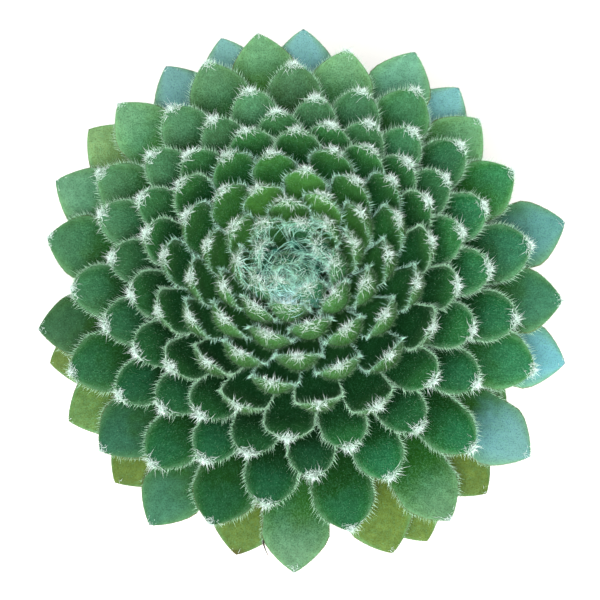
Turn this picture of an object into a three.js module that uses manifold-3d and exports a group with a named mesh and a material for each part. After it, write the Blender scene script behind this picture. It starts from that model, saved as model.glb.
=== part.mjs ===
// Potted Sempervivum ciliosum: a domed rosette of thick, hairy leaves on a short stem,
// standing in soil in a plain tapered clay pot. Millimetres, +Z up, and the origin lies
// under the middle of the rosette on the surface that the pot stands on.
import * as THREE from 'three';
import { mergeVertices } from 'three/addons/utils/BufferGeometryUtils.js';
import Module from 'manifold-3d';

const wasm = await Module();
wasm.setup();

// Pot, a plain two and a half inch one
const potHeight = 58;
const potRimRadius = 32.5;
const potCollarHeight = 13;
const potCollarStep = 2.2;
const potBaseRadius = 22;
const potWall = 3.2;
const potFloor = 4.5;
const potEdge = 0.8;
const potCollarTaper = 1.2;
const drainRadius = 4;
const potSides = 48;

// Soil
const fitGap = 0.3;
const soilBelowRim = 3;
const soilCrown = 0.8;
const crownShoulder = 0.75;
const stemHoleDepth = 9;
const soilSides = 32;

// Rosette: leaves are numbered outward along one spiral, the bud's below zero, and depths
// and radii are measured from the middle of the rosette's top
const plantTop = 86;
const budLeaves = 8;
const fullLeaves = 148;
const goldenAngle = THREE.MathUtils.degToRad(137.492);
const firstAngle = THREE.MathUtils.degToRad(246.96);
const firstTipRadius = 4.19;
const tipSpread = 0.3907;
const tipCrowding = 0.001451;
const openedSpread = 8.93;
const openedLeaf = 100.9;
const openedRange = 7.2;
const domeDrop = 19.4;
const domeStart = 12.7;
const domeRange = 31.8;
const droopFrom = 110;
const droopPerLeaf = 0.1;
const budDepth = 3.5;
const budLean = 3.8;
const headRadius = 40.7;
const headWarp = 0.03;
const headTwist = 0.037;
const outerLean = 18;
const addedLean = 66;
const leanLeaf = 65;
const leanRange = 7;
const youngLean = 14;
const youngLeanRange = 12;
const frontLean = 9;
const frontTurn = THREE.MathUtils.degToRad(-75);
const frontLeaf = 72;
const frontRange = 12;
const leanSway = 6;
const widthSway = 0.1;

// How far the rings of leaves stand off the axis, at four leaves of the spiral
const driftLeaves = [10, 45, 62, 110];
const driftX = [-1.6, -1, -0.8, -0.3];
const driftY = [1, 1.2, -0.5, -0.3];

// Outer leaves that reach out or stay short, and outer leaves turned aside, in degrees
const reachOf = {
  104: -1.5, 108: -1, 113: 1, 118: 2, 121: 1, 122: 1, 123: 2, 124: 2, 127: 2.5, 134: -1,
  135: 1.5, 140: 1.5, 141: -1, 143: 1.5, 132: -6, 133: -6, 137: -6, 139: -6, 142: -6,
  144: -6, 145: -6, 146: -6,
};
const drawnDrop = 0.5;
const asideOf = {
  104: 2.5, 108: 3, 119: -4, 124: -2.5, 127: -2, 128: 2, 134: 2, 135: 3, 140: -2,
};

// One leaf
const youngWidth = 3.8;
const widthGain = 2.7;
const widthLeaf = 13;
const openedWidth = 3.3;
const openedWidthLeaf = 103;
const openedWidthRange = 5;
const budWidth = 1.5;
const youngThickness = 1.7;
const leafThickness = 2.4;
const thicknessLeaf = 25;
const openedThinning = 0.7;
const upperShare = 0.34;
const cupShare = 0.25;
const cupLeaf = 70;
const cupRange = 12;
const tipHook = 0.7;
const hookFrom = 0.72;
const hookLeaf = 66;
const hookRange = 8;
const widestAt = 0.78;
const shoulderLeaf = 72;
const shoulderRange = 8;
const shoulderWidest = 0.06;
const tipFall = 2.15;
const shoulderFall = 0.25;
const openedFall = 0.6;
const tipBluntness = 0.56;
const shoulderPoint = 0.06;
const openedPoint = 0.23;
const rootWidthShare = 0.32;
const rootDip = 0.2;
const handleShare = 0.32;
const thickestAt = 0.68;
const rootThicknessShare = 0.5;
const leafSides = 4;
const leafSteps = 6;

// Stem
const stemTopDepth = 10.5;
const stemRise = 16.5;
const stemRadius = 8.2;
const rootSink = 1.7;
const stemFootRadius = 4.5;
const stemSides = 12;
const stemRings = 5;

const { cos, sin, exp, min, max, sqrt, PI } = Math;
const smooth = (t) => THREE.MathUtils.smoothstep(t, 0, 1);
const rise = (leaf, middle, range) => 1 / (1 + exp((middle - leaf) / range));

// Even, repeatable variation from leaf to leaf, between -0.5 and 0.5
function vary(leaf, channel) {
  const wave = sin(leaf * 12.9898 + channel * 78.233) * 43758.5453;
  return wave - Math.floor(wave) - 0.5;
}

// Where a value lies between steps that are given with their amounts
function between(value, steps, amounts) {
  const next = max(steps.findIndex((step) => step > value), 0);
  if (value <= steps[0]) return amounts[0];
  if (next === 0) return amounts[amounts.length - 1];
  return THREE.MathUtils.mapLinear(value, steps[next - 1], steps[next],
    amounts[next - 1], amounts[next]);
}

// A closed three.js geometry as a solid that can be joined to others
function toManifold(geometry) {
  const bare = geometry.clone();
  bare.deleteAttribute('normal');
  bare.deleteAttribute('uv');
  const merged = mergeVertices(bare, 1e-5);
  return new wasm.Manifold(new wasm.Mesh({
    numProp: 3,
    vertProperties: new Float32Array(merged.attributes.position.array),
    triVerts: new Uint32Array(merged.index.array),
  }));
}

function toGeometry(solid) {
  const mesh = solid.getMesh();
  const geometry = new THREE.BufferGeometry();
  geometry.setAttribute('position', new THREE.BufferAttribute(mesh.vertProperties, 3));
  geometry.setIndex(new THREE.BufferAttribute(mesh.triVerts, 1));
  geometry.computeVertexNormals();
  return geometry;
}

// A profile of [radius, height] points turned about +Z
function turned(profile, sides) {
  const points = profile.map(([radius, height]) => new THREE.Vector2(radius, height));
  return new THREE.LatheGeometry(points, sides).rotateX(PI / 2);
}

// A tapered body under a thicker collar, with a drain hole in the floor
function potGeometry() {
  const collarFoot = potHeight - potCollarHeight;
  const bodyTop = potRimRadius - potCollarStep;
  const innerTop = potRimRadius - potWall - potCollarStep / 2;
  const innerFoot = potBaseRadius - potWall;
  return turned([
    [drainRadius, 0],
    [potBaseRadius - potEdge, 0],
    [potBaseRadius, potEdge],
    [bodyTop - potCollarTaper / 2, collarFoot],
    [potRimRadius - potCollarTaper, collarFoot + potEdge],
    [potRimRadius, potHeight - potEdge],
    [potRimRadius - potEdge, potHeight],
    [innerTop + potEdge, potHeight],
    [innerTop, potHeight - potEdge],
    [innerFoot, potFloor],
    [drainRadius, potFloor],
    [drainRadius, 0],
  ], potSides);
}

// Where a leaf's root sits in the stem: distance from the axis, and depth below the top
function rootOf(leaf) {
  const age = max(leaf + budLeaves + 1, 0) / (fullLeaves + budLeaves);
  return { radius: stemRadius * sqrt(age), depth: stemTopDepth + stemRise * age };
}

// Where a leaf's tip stands: its direction, distance from the axis, and height
function tipOf(leaf) {
  const turn = firstAngle + leaf * goldenAngle
    + THREE.MathUtils.degToRad(asideOf[leaf] ?? 0);
  const angle = turn + headTwist * cos(2 * turn);
  if (leaf < 0) {
    const share = (leaf + budLeaves + 1) / (budLeaves + 1);
    return { angle, radius: firstTipRadius * share ** 0.8, height: -budDepth * (1 - share) };
  }
  const even = firstTipRadius + tipSpread * leaf - tipCrowding * leaf * leaf
    + openedSpread * rise(leaf, openedLeaf, openedRange);
  const radius = even * (1 - headWarp * (even / headRadius) * sin(2 * turn))
    + (reachOf[leaf] ?? 0);
  const height = -domeDrop * smooth((even - domeStart) / domeRange)
    - droopPerLeaf * max(leaf - droopFrom, 0) + min((reachOf[leaf] ?? 0) + 2, 0) * drawnDrop;
  return { angle, radius, height };
}

function widthOf(leaf) {
  const grown = youngWidth + widthGain * (1 - exp(-max(leaf, 0) / widthLeaf))
    + openedWidth * rise(leaf, openedWidthLeaf, openedWidthRange);
  const bud = THREE.MathUtils.mapLinear(min(leaf, 0), -budLeaves, 0, budWidth, youngWidth);
  return (leaf < 0 ? bud : grown) * (1 + vary(leaf, 3) * widthSway);
}

// The slope of the blade at its tip: young leaves stand up, old ones lie open, and the
// leaves at the front lean further in
function leanOf(leaf, angle) {
  return outerLean + addedLean * (1 - rise(leaf, leanLeaf, leanRange))
    + youngLean * exp(-max(leaf, 0) / youngLeanRange)
    + frontLean * cos(angle - frontTurn) * (1 - rise(leaf, frontLeaf, frontRange))
    + vary(leaf, 4) * leanSway;
}

// Half-width of the blade as a share of its widest, from root (0) to tip (1). Older leaves
// have higher shoulders, and opened ones a straighter run from there to the tip.
function outline(along, shoulder, opened) {
  const widest = widestAt + shoulderWidest * shoulder;
  if (along < widest) {
    return rootWidthShare + (1 - rootWidthShare) * sin(along / widest * PI / 2) ** 1.3;
  }
  const fall = tipFall - shoulderFall * shoulder - openedFall * opened;
  const blunt = tipBluntness + shoulderPoint * shoulder + openedPoint * opened;
  return max(1 - ((along - widest) / (1 - widest)) ** fall, 0) ** blunt;
}

// Thickness of the blade as a share of its thickest, from root to tip
function fullness(along) {
  if (along < thickestAt) {
    return rootThicknessShare + (1 - rootThicknessShare) * sin(along / thickestAt * PI / 2);
  }
  return max(1 - ((along - thickestAt) / (1 - thickestAt)) ** 3.2, 0);
}

// A point of a curve from root to tip, from its four control values
function curve(along, [first, second, third, last]) {
  const rest = 1 - along;
  return first * rest ** 3 + 3 * second * rest ** 2 * along + 3 * third * rest * along ** 2
    + last * along ** 3;
}

// How fast that curve moves on at the same point
function pace(along, [first, second, third, last]) {
  const rest = 1 - along;
  return (second - first) * rest ** 2 + 2 * (third - second) * rest * along
    + (last - third) * along ** 2;
}

// The blade's middle line leaves the stem low and ends at the tip's lean. Its section has a
// margin on each side, a flatter upper face and a fuller lower one.
function leafGeometry(leaf) {
  const root = rootOf(leaf);
  const tip = tipOf(leaf);
  const out = tip.radius - root.radius;
  const up = tip.height + root.depth;
  const chord = Math.atan2(up, out);
  const lean = THREE.MathUtils.degToRad(leanOf(leaf, tip.angle));
  const start = chord - (lean - chord) * rootDip;
  const handle = Math.hypot(out, up) * handleShare;
  const outward = [root.radius, root.radius + handle * cos(start),
    tip.radius - handle * cos(lean), tip.radius];
  const upward = [-root.depth, -root.depth + handle * sin(start),
    tip.height - handle * sin(lean), tip.height];
  const width = widthOf(leaf) / 2;
  const opened = rise(leaf, openedWidthLeaf, openedWidthRange);
  const shoulder = rise(leaf, shoulderLeaf, shoulderRange);
  const thickness = THREE.MathUtils.lerp(leafThickness, youngThickness,
    exp(-(leaf + budLeaves) / thicknessLeaf)) - openedThinning * opened;
  const cup = cupShare * width * (1 - rise(leaf, cupLeaf, cupRange));
  const hook = tipHook * (1 - rise(leaf, hookLeaf, hookRange));
  const geometry = new THREE.ConeGeometry(1, 1, leafSides, leafSteps, false, PI / 2);
  const place = geometry.attributes.position;
  const shiftX = between(leaf, driftLeaves, driftX);
  const shiftY = between(leaf, driftLeaves, driftY) - (leaf < 0 ? budLean : 0);
  for (let i = 0; i < place.count; i += 1) {
    const step = place.getY(i) + 0.5;
    const along = 1 - max(1 - step, 0) ** 1.5;
    const ring = max(1 - step, 1e-6);
    const across = place.getX(i) / ring;
    const through = place.getZ(i) / ring;
    const blade = outline(along, shoulder, opened);
    const side = across * width * blade;
    const share = through > 0 ? upperShare : 1 - upperShare;
    const lift = through * share * thickness * fullness(along)
      + cup * across * across * blade
      + hook * smooth((along - hookFrom) / (1 - hookFrom)) ** 1.3;
    const slope = Math.atan2(pace(along, upward), pace(along, outward));
    const reach = curve(along, outward) - lift * sin(slope);
    const height = curve(along, upward) + lift * cos(slope);
    place.setXYZ(i,
      reach * cos(tip.angle) + side * sin(tip.angle) + shiftX * along,
      reach * sin(tip.angle) - side * cos(tip.angle) + shiftY * along,
      height);
  }
  return geometry;
}

// The stem carries every root, and its foot stands in the soil
function stemGeometry() {
  const profile = [[0, -stemTopDepth + fitGap]];
  for (let ring = 0; ring <= stemRings; ring += 1) {
    const leaf = -budLeaves + (fullLeaves + budLeaves) * (ring / stemRings) ** 1.5;
    const root = rootOf(leaf);
    profile.push([root.radius + rootSink * min(1, 0.3 + ring / 2), -root.depth]);
  }
  const soilTop = potHeight - soilBelowRim - plantTop;
  const footTop = soilTop + soilCrown + fitGap;
  const footEnd = soilTop - stemHoleDepth + fitGap;
  profile.push([stemFootRadius, footTop], [stemFootRadius, footEnd], [0, footEnd]);
  return turned(profile.reverse(), stemSides);
}

// Every leaf is fused to the stem, and to a neighbour that it leans on
function rosetteGeometry() {
  let head = toManifold(stemGeometry());
  for (let leaf = -budLeaves; leaf < fullLeaves; leaf += 1) {
    head = head.add(toManifold(leafGeometry(leaf)));
  }
  return toGeometry(head);
}

// The soil fills the pot's taper, and the stem's foot stands in a plain hole in it
function soilGeometry() {
  const top = potHeight - soilBelowRim;
  const wallSlope = (potRimRadius - potWall - potCollarStep / 2 - potBaseRadius + potWall)
    / (potHeight - potEdge - potFloor);
  const inner = (height) => potBaseRadius - potWall + wallSlope * (height - potFloor) - fitGap;
  const foot = potFloor + fitGap;
  const hole = stemFootRadius + fitGap;
  return turned([
    [0, foot],
    [inner(foot), foot],
    [inner(top), top],
    [inner(top) * crownShoulder, top + soilCrown / 2],
    [hole, top + soilCrown],
    [hole, top - stemHoleDepth],
    [0, top - stemHoleDepth],
  ], soilSides);
}

const clay = new THREE.MeshStandardMaterial({ color: 0xb5623f, roughness: 0.9, metalness: 0 });
const earth = new THREE.MeshStandardMaterial({ color: 0x3b2a1e, roughness: 1, metalness: 0 });
const leafGreen = new THREE.MeshStandardMaterial({ color: 0x3f7a55, roughness: 0.7, metalness: 0 });

function piece(name, geometry, material) {
  const mesh = new THREE.Mesh(geometry, material);
  mesh.name = name;
  return mesh;
}

const pot = piece('pot', potGeometry(), clay);
const soil = piece('soil', soilGeometry(), earth);
const rosette = piece('rosette', rosetteGeometry(), leafGreen);
rosette.position.z = plantTop;

const part = new THREE.Group();
part.add(pot, soil, rosette);

export default part;
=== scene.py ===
"""Potted Sempervivum ciliosum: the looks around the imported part.

The rosette, its hairs, the pot and the soil are built in millimetres, +Z up, with the
same formulas as the part's source, and turned into metres when a mesh is made.
"""

import itertools
import math

import bpy
import numpy as np
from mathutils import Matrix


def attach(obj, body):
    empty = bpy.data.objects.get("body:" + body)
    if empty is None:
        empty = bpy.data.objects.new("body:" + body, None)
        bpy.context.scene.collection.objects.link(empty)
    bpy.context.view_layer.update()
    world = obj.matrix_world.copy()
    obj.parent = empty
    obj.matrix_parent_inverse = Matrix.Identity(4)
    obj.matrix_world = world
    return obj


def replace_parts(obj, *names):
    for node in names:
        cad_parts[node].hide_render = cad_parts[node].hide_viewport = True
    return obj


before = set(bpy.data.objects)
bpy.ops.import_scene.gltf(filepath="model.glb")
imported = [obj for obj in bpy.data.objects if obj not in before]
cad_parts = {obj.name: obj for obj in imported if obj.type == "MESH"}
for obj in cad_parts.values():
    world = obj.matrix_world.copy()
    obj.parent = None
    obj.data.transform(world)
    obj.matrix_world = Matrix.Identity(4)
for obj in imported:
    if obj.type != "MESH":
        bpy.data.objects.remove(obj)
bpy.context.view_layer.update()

MM = 0.001
rng = np.random.default_rng(20)

# Sizes: lengths in millimetres, leaves by number from the middle outward. They are the part's,
# apart from UPPER_SHARE and the youngest leaves in the heart, which are in this script alone
POT_HEIGHT, POT_RIM_RADIUS, POT_COLLAR_HEIGHT, POT_COLLAR_STEP = 58, 32.5, 13, 2.2
POT_BASE_RADIUS, POT_WALL, POT_FLOOR, POT_EDGE = 22, 3.2, 4.5, 0.8
POT_COLLAR_TAPER, DRAIN_RADIUS = 1.2, 4
POT_INNER_TOP = POT_RIM_RADIUS - POT_WALL - POT_COLLAR_STEP / 2
POT_INNER_FOOT = POT_BASE_RADIUS - POT_WALL
FIT_GAP, SOIL_BELOW_RIM, SOIL_CROWN, CROWN_SHOULDER = 0.3, 3, 0.8, 0.75
STEM_HOLE_DEPTH = 9

PLANT_TOP, BUD_LEAVES, FULL_LEAVES = 86, 8, 148
HEART_LEAVES, HEART_RADIUS, HEART_DEPTH, HEART_RISE, HEART_LEAN, HEART_SHIFT = 30, 5.8, 4.0, 1.7, 72, 1.6
GOLDEN_ANGLE, FIRST_ANGLE = math.radians(137.492), math.radians(246.96)
FIRST_TIP_RADIUS, TIP_SPREAD, TIP_CROWDING = 4.19, 0.3907, 0.001451
OPENED_SPREAD, OPENED_LEAF, OPENED_RANGE = 8.93, 100.9, 7.2
DOME_DROP, DOME_START, DOME_RANGE = 19.4, 12.7, 31.8
DROOP_FROM, DROOP_PER_LEAF, BUD_DEPTH, BUD_LEAN = 110, 0.1, 3.5, 3.8
HEAD_RADIUS, HEAD_WARP, HEAD_TWIST = 40.7, 0.03, 0.037
OUTER_LEAN, ADDED_LEAN, LEAN_LEAF, LEAN_RANGE, LEAN_SWAY = 18, 66, 65, 7, 6
YOUNG_LEAN, YOUNG_LEAN_RANGE = 14, 12
FRONT_LEAN, FRONT_TURN, FRONT_LEAF, FRONT_RANGE = 9, math.radians(-75), 72, 12
DRIFT_LEAVES = [10, 45, 62, 110]
DRIFT_X, DRIFT_Y = [-1.6, -1.0, -0.8, -0.3], [1.0, 1.2, -0.5, -0.3]
WIDTH_SWAY = 0.1
# Leaves that stand out or stay short, in millimetres, and leaves turned aside, in degrees
REACH = {104: -1.5, 108: -1, 113: 1, 118: 2, 121: 1, 122: 1, 123: 2, 124: 2, 127: 2.5, 134: -1,
         135: 1.5, 140: 1.5, 141: -1, 143: 1.5, 132: -6, 133: -6, 137: -6, 139: -6, 142: -6,
         144: -6, 145: -6, 146: -6}
DRAWN_DROP = 0.5
ASIDE = {104: 2.5, 108: 3, 119: -4, 124: -2.5, 127: -2, 128: 2, 134: 2, 135: 3, 140: -2}

YOUNG_WIDTH, WIDTH_GAIN, WIDTH_LEAF = 3.8, 2.7, 13
OPENED_WIDTH, OPENED_WIDTH_LEAF, OPENED_WIDTH_RANGE, BUD_WIDTH = 3.3, 103, 5, 1.5
YOUNG_THICKNESS, LEAF_THICKNESS, THICKNESS_LEAF, OPENED_THINNING = 1.7, 2.4, 25, 0.7
UPPER_SHARE, CUP_SHARE, WIDEST_AT, ROOT_WIDTH_SHARE = 0.4, 0.25, 0.78, 0.32
CUP_LEAF, CUP_RANGE, HOOK_LEAF, HOOK_RANGE = 70, 12, 66, 8
ROOT_DIP, HANDLE_SHARE = 0.2, 0.32
TIP_HOOK, HOOK_FROM = 0.7, 0.72
SHOULDER_LEAF, SHOULDER_RANGE, SHOULDER_WIDEST = 72, 8, 0.06
TIP_FALL, SHOULDER_FALL, OPENED_FALL = 2.15, 0.25, 0.6
TIP_BLUNTNESS, SHOULDER_POINT, OPENED_POINT = 0.56, 0.06, 0.23
THICKEST_AT, ROOT_THICKNESS_SHARE = 0.68, 0.5

STEM_TOP_DEPTH, STEM_RISE, STEM_RADIUS, ROOT_SINK, STEM_FOOT_RADIUS = 10.5, 16.5, 8.2, 1.7, 4.5

# Fineness: points round and rows along a leaf, the leaf that starts the outer piece, what is
# turned, and crumbs of soil
SECTION_POINTS, LEAF_ROWS, PIECE_SPLIT = 20, 20, 60
POT_SIDES, SOIL_SIDES, STEM_SIDES = 160, 120, 96
RIM_EDGE, HOLE_EDGE, COLLAR_NOOK, FLOOR_NOOK = POT_EDGE * 1.3, 0.3, 0.5, 1.0
POT_ARC_STEPS, POT_SIDE_STEP, SOIL_RINGS, NEAR_AXIS = 5, 1.1, 44, 0.05
STEM_RINGS, STEM_LAST_RING, FOOT_RINGS = 26, 5, 8
CRUMBS, CRUMB_SIZE, CRUMB_GROWTH, CRUMB_MARGIN = 1500, 0.25, 0.55, 1

# Single leaves, set one by one beside the photograph. A tone of 1 is common, a hue of 1 is blue
# and a hue of -1 is olive
TONES = {76: 0.75, 84: 0.6, 89: 0.8, 97: 0.8, 105: 0.86, 109: 1.05, 110: 0.86, 112: 1.0,
         113: 1.05, 114: 1.05, 115: 0.62, 116: 0.8, 117: 1.15, 118: 1.2, 120: 0.5, 121: 1.1,
         122: 1.12, 123: 0.78, 124: 0.75, 129: 1.05, 130: 0.7, 135: 0.74, 140: 0.85, 143: 0.8}
HUES = {101: -0.15, 103: 0.15, 104: -0.1, 108: 0.1, 112: 0.1, 115: 0.2, 116: 0.2, 117: 0.1,
        118: 0.15, 121: 0.72, 123: 0.22, 124: 0.5, 125: 0.2, 126: -0.9, 127: 0.3, 128: -0.6,
        129: 0.95, 130: 0.75, 131: -0.8, 133: -0.9, 134: -0.9, 135: 0.9, 136: -1, 138: -0.5,
        139: -0.9, 140: 0.7, 141: -0.9, 143: 0.7, 144: -0.9, 147: -0.8}
PALE = {109: 0.05, 113: 0.3, 114: 0.15, 117: 0.05, 118: 0.34, 119: 0.15, 121: 0.2}
DRY_TIP_LEAF, DRY_FROM, DRY_RANGE = 131, 0.92, 0.08

# How tone and pale down change round the head, most on the side that an angle names. This is painted
# light and shade: leaves on one side are painted lighter and paler, on another darker
LIGHT_SIDE, LIGHT_TURN, LIGHT_LEAF, LIGHT_RANGE = 0.12, math.radians(70), 92, 8
PALE_SIDE, PALE_TURN, PALE_LEAF, PALE_RANGE = 0.2, math.radians(118), 80, 10
SHADE_SIDE, SHADE_TURN = 0.24, math.radians(205)
SHADE_FROM, SHADE_FROM_RANGE, SHADE_TO, SHADE_TO_RANGE = 56, 8, 111, 2
# Painted light: young leaves round GLOW_LEAF on the upper side are painted lighter, and the heart's
# leaves painted bluer towards the front by HEART_BLUE
GLOW_LEAF, GLOW_RANGE, HEART_BLUE = 18, 9, 0.9

# Hairs: how many a leaf, how far apart, how long and how thick, and from which leaf they thin out
TUFT_SPLIT, YOUNG_TUFT, GROWN_TUFT, BUD_TUFT_PART = 56, 110, 150, 8
YOUNG_TUFT_RADIUS, GROWN_TUFT_RADIUS, TUFT_STEPS = 0.03, 0.034, 2
TUFT_DEPTH, YOUNG_TUFT_DEPTH, TUFT_LENGTH, TUFT_LENGTH_SPREAD = 0.035, 0.07, 0.55, 0.95
TUFT_LOSS, TUFT_LOSS_LEAF, TUFT_LOSS_RANGE = 0.78, 114, 3
LATE_TUFT_LOSS, LATE_TUFT_LOSS_LEAF = 0.18, 125
MARGIN_SPLIT, MARGIN_SHARE = 46, 0.6
MARGIN_LENGTHS, MARGIN_DOWN_LENGTHS = (0.8, 1.6), (0.3, 0.8)
YOUNG_MARGIN_GAP, MARGIN_GAP, MARGIN_DOWN_GAP = 0.15, 0.19, 0.1
YOUNG_MARGIN_RADIUS, MARGIN_RADIUS, MARGIN_DOWN_RADIUS = 0.028, 0.03, 0.024
BARE_LEAF, BARE_SHARE, BARER_LEAF, BARER_SHARE = 112, 0.9, 122, 0.5
SHORT_MARGIN_LOSS, SHORT_MARGIN_LEAF, SHORT_MARGIN_RANGE = 0.6, 117, 4
UPPER_DOWN, UPPER_DOWN_LENGTH, UPPER_DOWN_RADIUS = (220, 300), 0.5, 0.016
LOWER_DOWN, LOWER_DOWN_LENGTH, LOWER_DOWN_RADIUS = (320, 70), 0.8, 0.019
DOWN_LEAF, DOWN_RANGE, SMOOTH_LOSS, SMOOTH_LEAF, SMOOTH_RANGE = 64, 6, 0.5, 126, 2
HIDDEN_SHARE, OPEN_LEAF, OPEN_HIDDEN_SHARE = 0.6, 108, 0.36
WEB_LEAVES, HEART_WEB_HAIRS, BUD_WEB_HAIRS, YOUNG_WEB_HAIRS = 11, 25, 48, 32
WEB_LENGTHS, WEB_RADIUS, WEB_STEPS, WEB_FRONT = (1.2, 3.0), 0.034, 4, (-1.8, -5.2)
THREAD_LEAF, THREAD_ALONG, THREAD_SIDE = 118, 0.86, 1.0
THREAD_LENGTH, THREAD_RADIUS, THREAD_STEPS = 2.8, 0.2, 9
STRAIGHT_UP = np.array([0, 0, 1.0])

# The studio in metres, and the camera in millimetres
FLOOR, CLIP_START = 3.0, 0.01
SKY_COLOUR, SKY_STRENGTH = (0.97, 0.99, 1.0, 1), 0.37
KEY_PLACE, KEY_AIM, KEY_SIZE = (-0.10, -0.40, 0.98), (0, 0, 0.07), 0.95
KEY_WATTS, KEY_COLOUR = 24.2, (0.97, 1.0, 0.96)
LENS, SENSOR_WIDTH, DISTANCE, ELEVATION = 108.87, 36, 245.0, math.radians(79.3)
TARGET = np.array([-0.29, -4.87, PLANT_TOP])


# Meshes
def make_piece(name, verts, faces, material, attributes=None):
    """A smooth piece from points in millimetres and arrays of faces, one array a corner count."""
    mesh = bpy.data.meshes.new(name)
    verts = np.asarray(verts, np.float32) * MM
    groups = [np.asarray(group, np.int32) for group in faces if len(group)]
    loops = np.concatenate([group.ravel() for group in groups])
    totals = np.concatenate([np.full(len(group), group.shape[1], np.int32) for group in groups])
    starts = np.concatenate([[0], np.cumsum(totals)[:-1]]).astype(np.int32)
    mesh.vertices.add(len(verts))
    mesh.vertices.foreach_set("co", verts.ravel())
    mesh.loops.add(len(loops))
    mesh.loops.foreach_set("vertex_index", loops)
    mesh.polygons.add(len(totals))
    mesh.polygons.foreach_set("loop_start", starts)
    mesh.polygons.foreach_set("loop_total", totals)
    mesh.polygons.foreach_set("use_smooth", np.full(len(totals), True))
    mesh.update(calc_edges=True)
    mesh.validate()
    for key, values in (attributes or {}).items():
        layer = mesh.attributes.new(key, "FLOAT", "POINT")
        layer.data.foreach_set("value", np.asarray(values, np.float32).ravel())
    piece = bpy.data.objects.new(name, mesh)
    bpy.context.scene.collection.objects.link(piece)
    piece.data.materials.append(material)
    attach(piece, "root")
    return piece


def turned(profile, sides, wobble):
    """Points and quads of a closed profile of (radius, height) turned about +Z and roughened."""
    profile = np.asarray(profile, float)
    turn = np.linspace(0, 2 * np.pi, sides, endpoint=False)
    radius = profile[:, 0][:, None] * np.ones(sides)
    height = profile[:, 1][:, None] * np.ones(sides)
    radius, height = wobble(radius, height, turn[None, :])
    points = np.stack([radius * np.cos(turn), radius * np.sin(turn), height], -1).reshape(-1, 3)
    rows = len(profile)
    row, column = np.meshgrid(np.arange(rows), np.arange(sides), indexing="ij")
    here = row * sides + column
    beside = row * sides + (column + 1) % sides
    above = (row + 1) % rows * sides + column
    across = (row + 1) % rows * sides + (column + 1) % sides
    return points, np.stack([here, beside, across, above], -1).reshape(-1, 4)


# Materials
def linear(red, green, blue):
    """A colour given from 0 to 255 as the renderer's own values."""
    out = []
    for value in (red, green, blue):
        value /= 255
        out.append(value / 12.92 if value <= 0.04045 else ((value + 0.055) / 1.055) ** 2.4)
    return (*out, 1.0)


class Nodes:
    """Short calls that add nodes to one material."""

    def __init__(self, name):
        self.material = bpy.data.materials.new(name)
        self.material.use_nodes = True
        self.tree = self.material.node_tree
        self.shader = self.tree.nodes["Principled BSDF"]

    def put(self, socket, value):
        if isinstance(value, bpy.types.NodeSocket):
            self.tree.links.new(value, socket)
        else:
            socket.default_value = value

    def attribute(self, name):
        node = self.tree.nodes.new("ShaderNodeAttribute")
        node.attribute_name = name
        return node.outputs["Fac"]

    def place(self):
        return self.tree.nodes.new("ShaderNodeTexCoord").outputs["Object"]

    def axis(self, number):
        node = self.tree.nodes.new("ShaderNodeSeparateXYZ")
        self.put(node.inputs[0], self.place())
        return node.outputs[number]

    def noise(self, scale, detail=3, rough=0.55, vector=None):
        node = self.tree.nodes.new("ShaderNodeTexNoise")
        self.put(node.inputs["Vector"], vector or self.place())
        node.inputs["Scale"].default_value = scale
        node.inputs["Detail"].default_value = detail
        node.inputs["Roughness"].default_value = rough
        return node.outputs["Fac"]

    def cells(self, scale):
        node = self.tree.nodes.new("ShaderNodeTexVoronoi")
        self.put(node.inputs["Vector"], self.place())
        node.inputs["Scale"].default_value = scale
        return node.outputs["Distance"]

    def joined(self, first, second, third):
        node = self.tree.nodes.new("ShaderNodeCombineXYZ")
        for socket, value in zip(node.inputs, (first, second, third)):
            self.put(socket, value)
        return node.outputs[0]

    def math(self, operation, first, second=0.0):
        node = self.tree.nodes.new("ShaderNodeMath")
        node.operation = operation
        self.put(node.inputs[0], first)
        self.put(node.inputs[1], second)
        return node.outputs[0]

    def times(self, first, second):
        return self.math("MULTIPLY", first, second)

    def plus(self, first, second):
        return self.math("ADD", first, second)

    def between(self, value, low, high, to_low=0.0, to_high=1.0):
        node = self.tree.nodes.new("ShaderNodeMapRange")
        node.interpolation_type = "SMOOTHSTEP"
        for socket, number in zip(node.inputs, (value, low, high, to_low, to_high)):
            self.put(socket, number)
        return node.outputs[0]

    def ramp(self, value, stops):
        node = self.tree.nodes.new("ShaderNodeValToRGB")
        self.put(node.inputs[0], value)
        band = node.color_ramp.elements
        while len(band) < len(stops):
            band.new(0.5)
        for element, (position, colour) in zip(band, stops):
            element.position = position
            element.color = linear(*colour)
        return node.outputs[0]

    def mix(self, share, first, second, blend="MIX"):
        node = self.tree.nodes.new("ShaderNodeMix")
        node.data_type = "RGBA"
        node.blend_type = blend
        self.put(node.inputs[0], share)
        self.put(node.inputs[6], first)
        self.put(node.inputs[7], second)
        return node.outputs[2]

    def tint(self, share, colour, tone):
        return self.mix(share, colour, linear(*tone))

    def shaded(self, colour, light):
        return self.mix(1.0, colour, light, "MULTIPLY")

    def bump(self, height, strength, distance):
        node = self.tree.nodes.new("ShaderNodeBump")
        node.inputs["Strength"].default_value = strength
        node.inputs["Distance"].default_value = distance
        self.put(node.inputs["Height"], height)
        return node.outputs[0]

    def finish(self, colour, rough, normal=None, **numbers):
        self.put(self.shader.inputs["Base Color"], colour)
        self.put(self.shader.inputs["Roughness"], rough)
        if normal is not None:
            self.put(self.shader.inputs["Normal"], normal)
        for name, value in numbers.items():
            self.shader.inputs[name.replace("_", " ")].default_value = value
        return self.material


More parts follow.
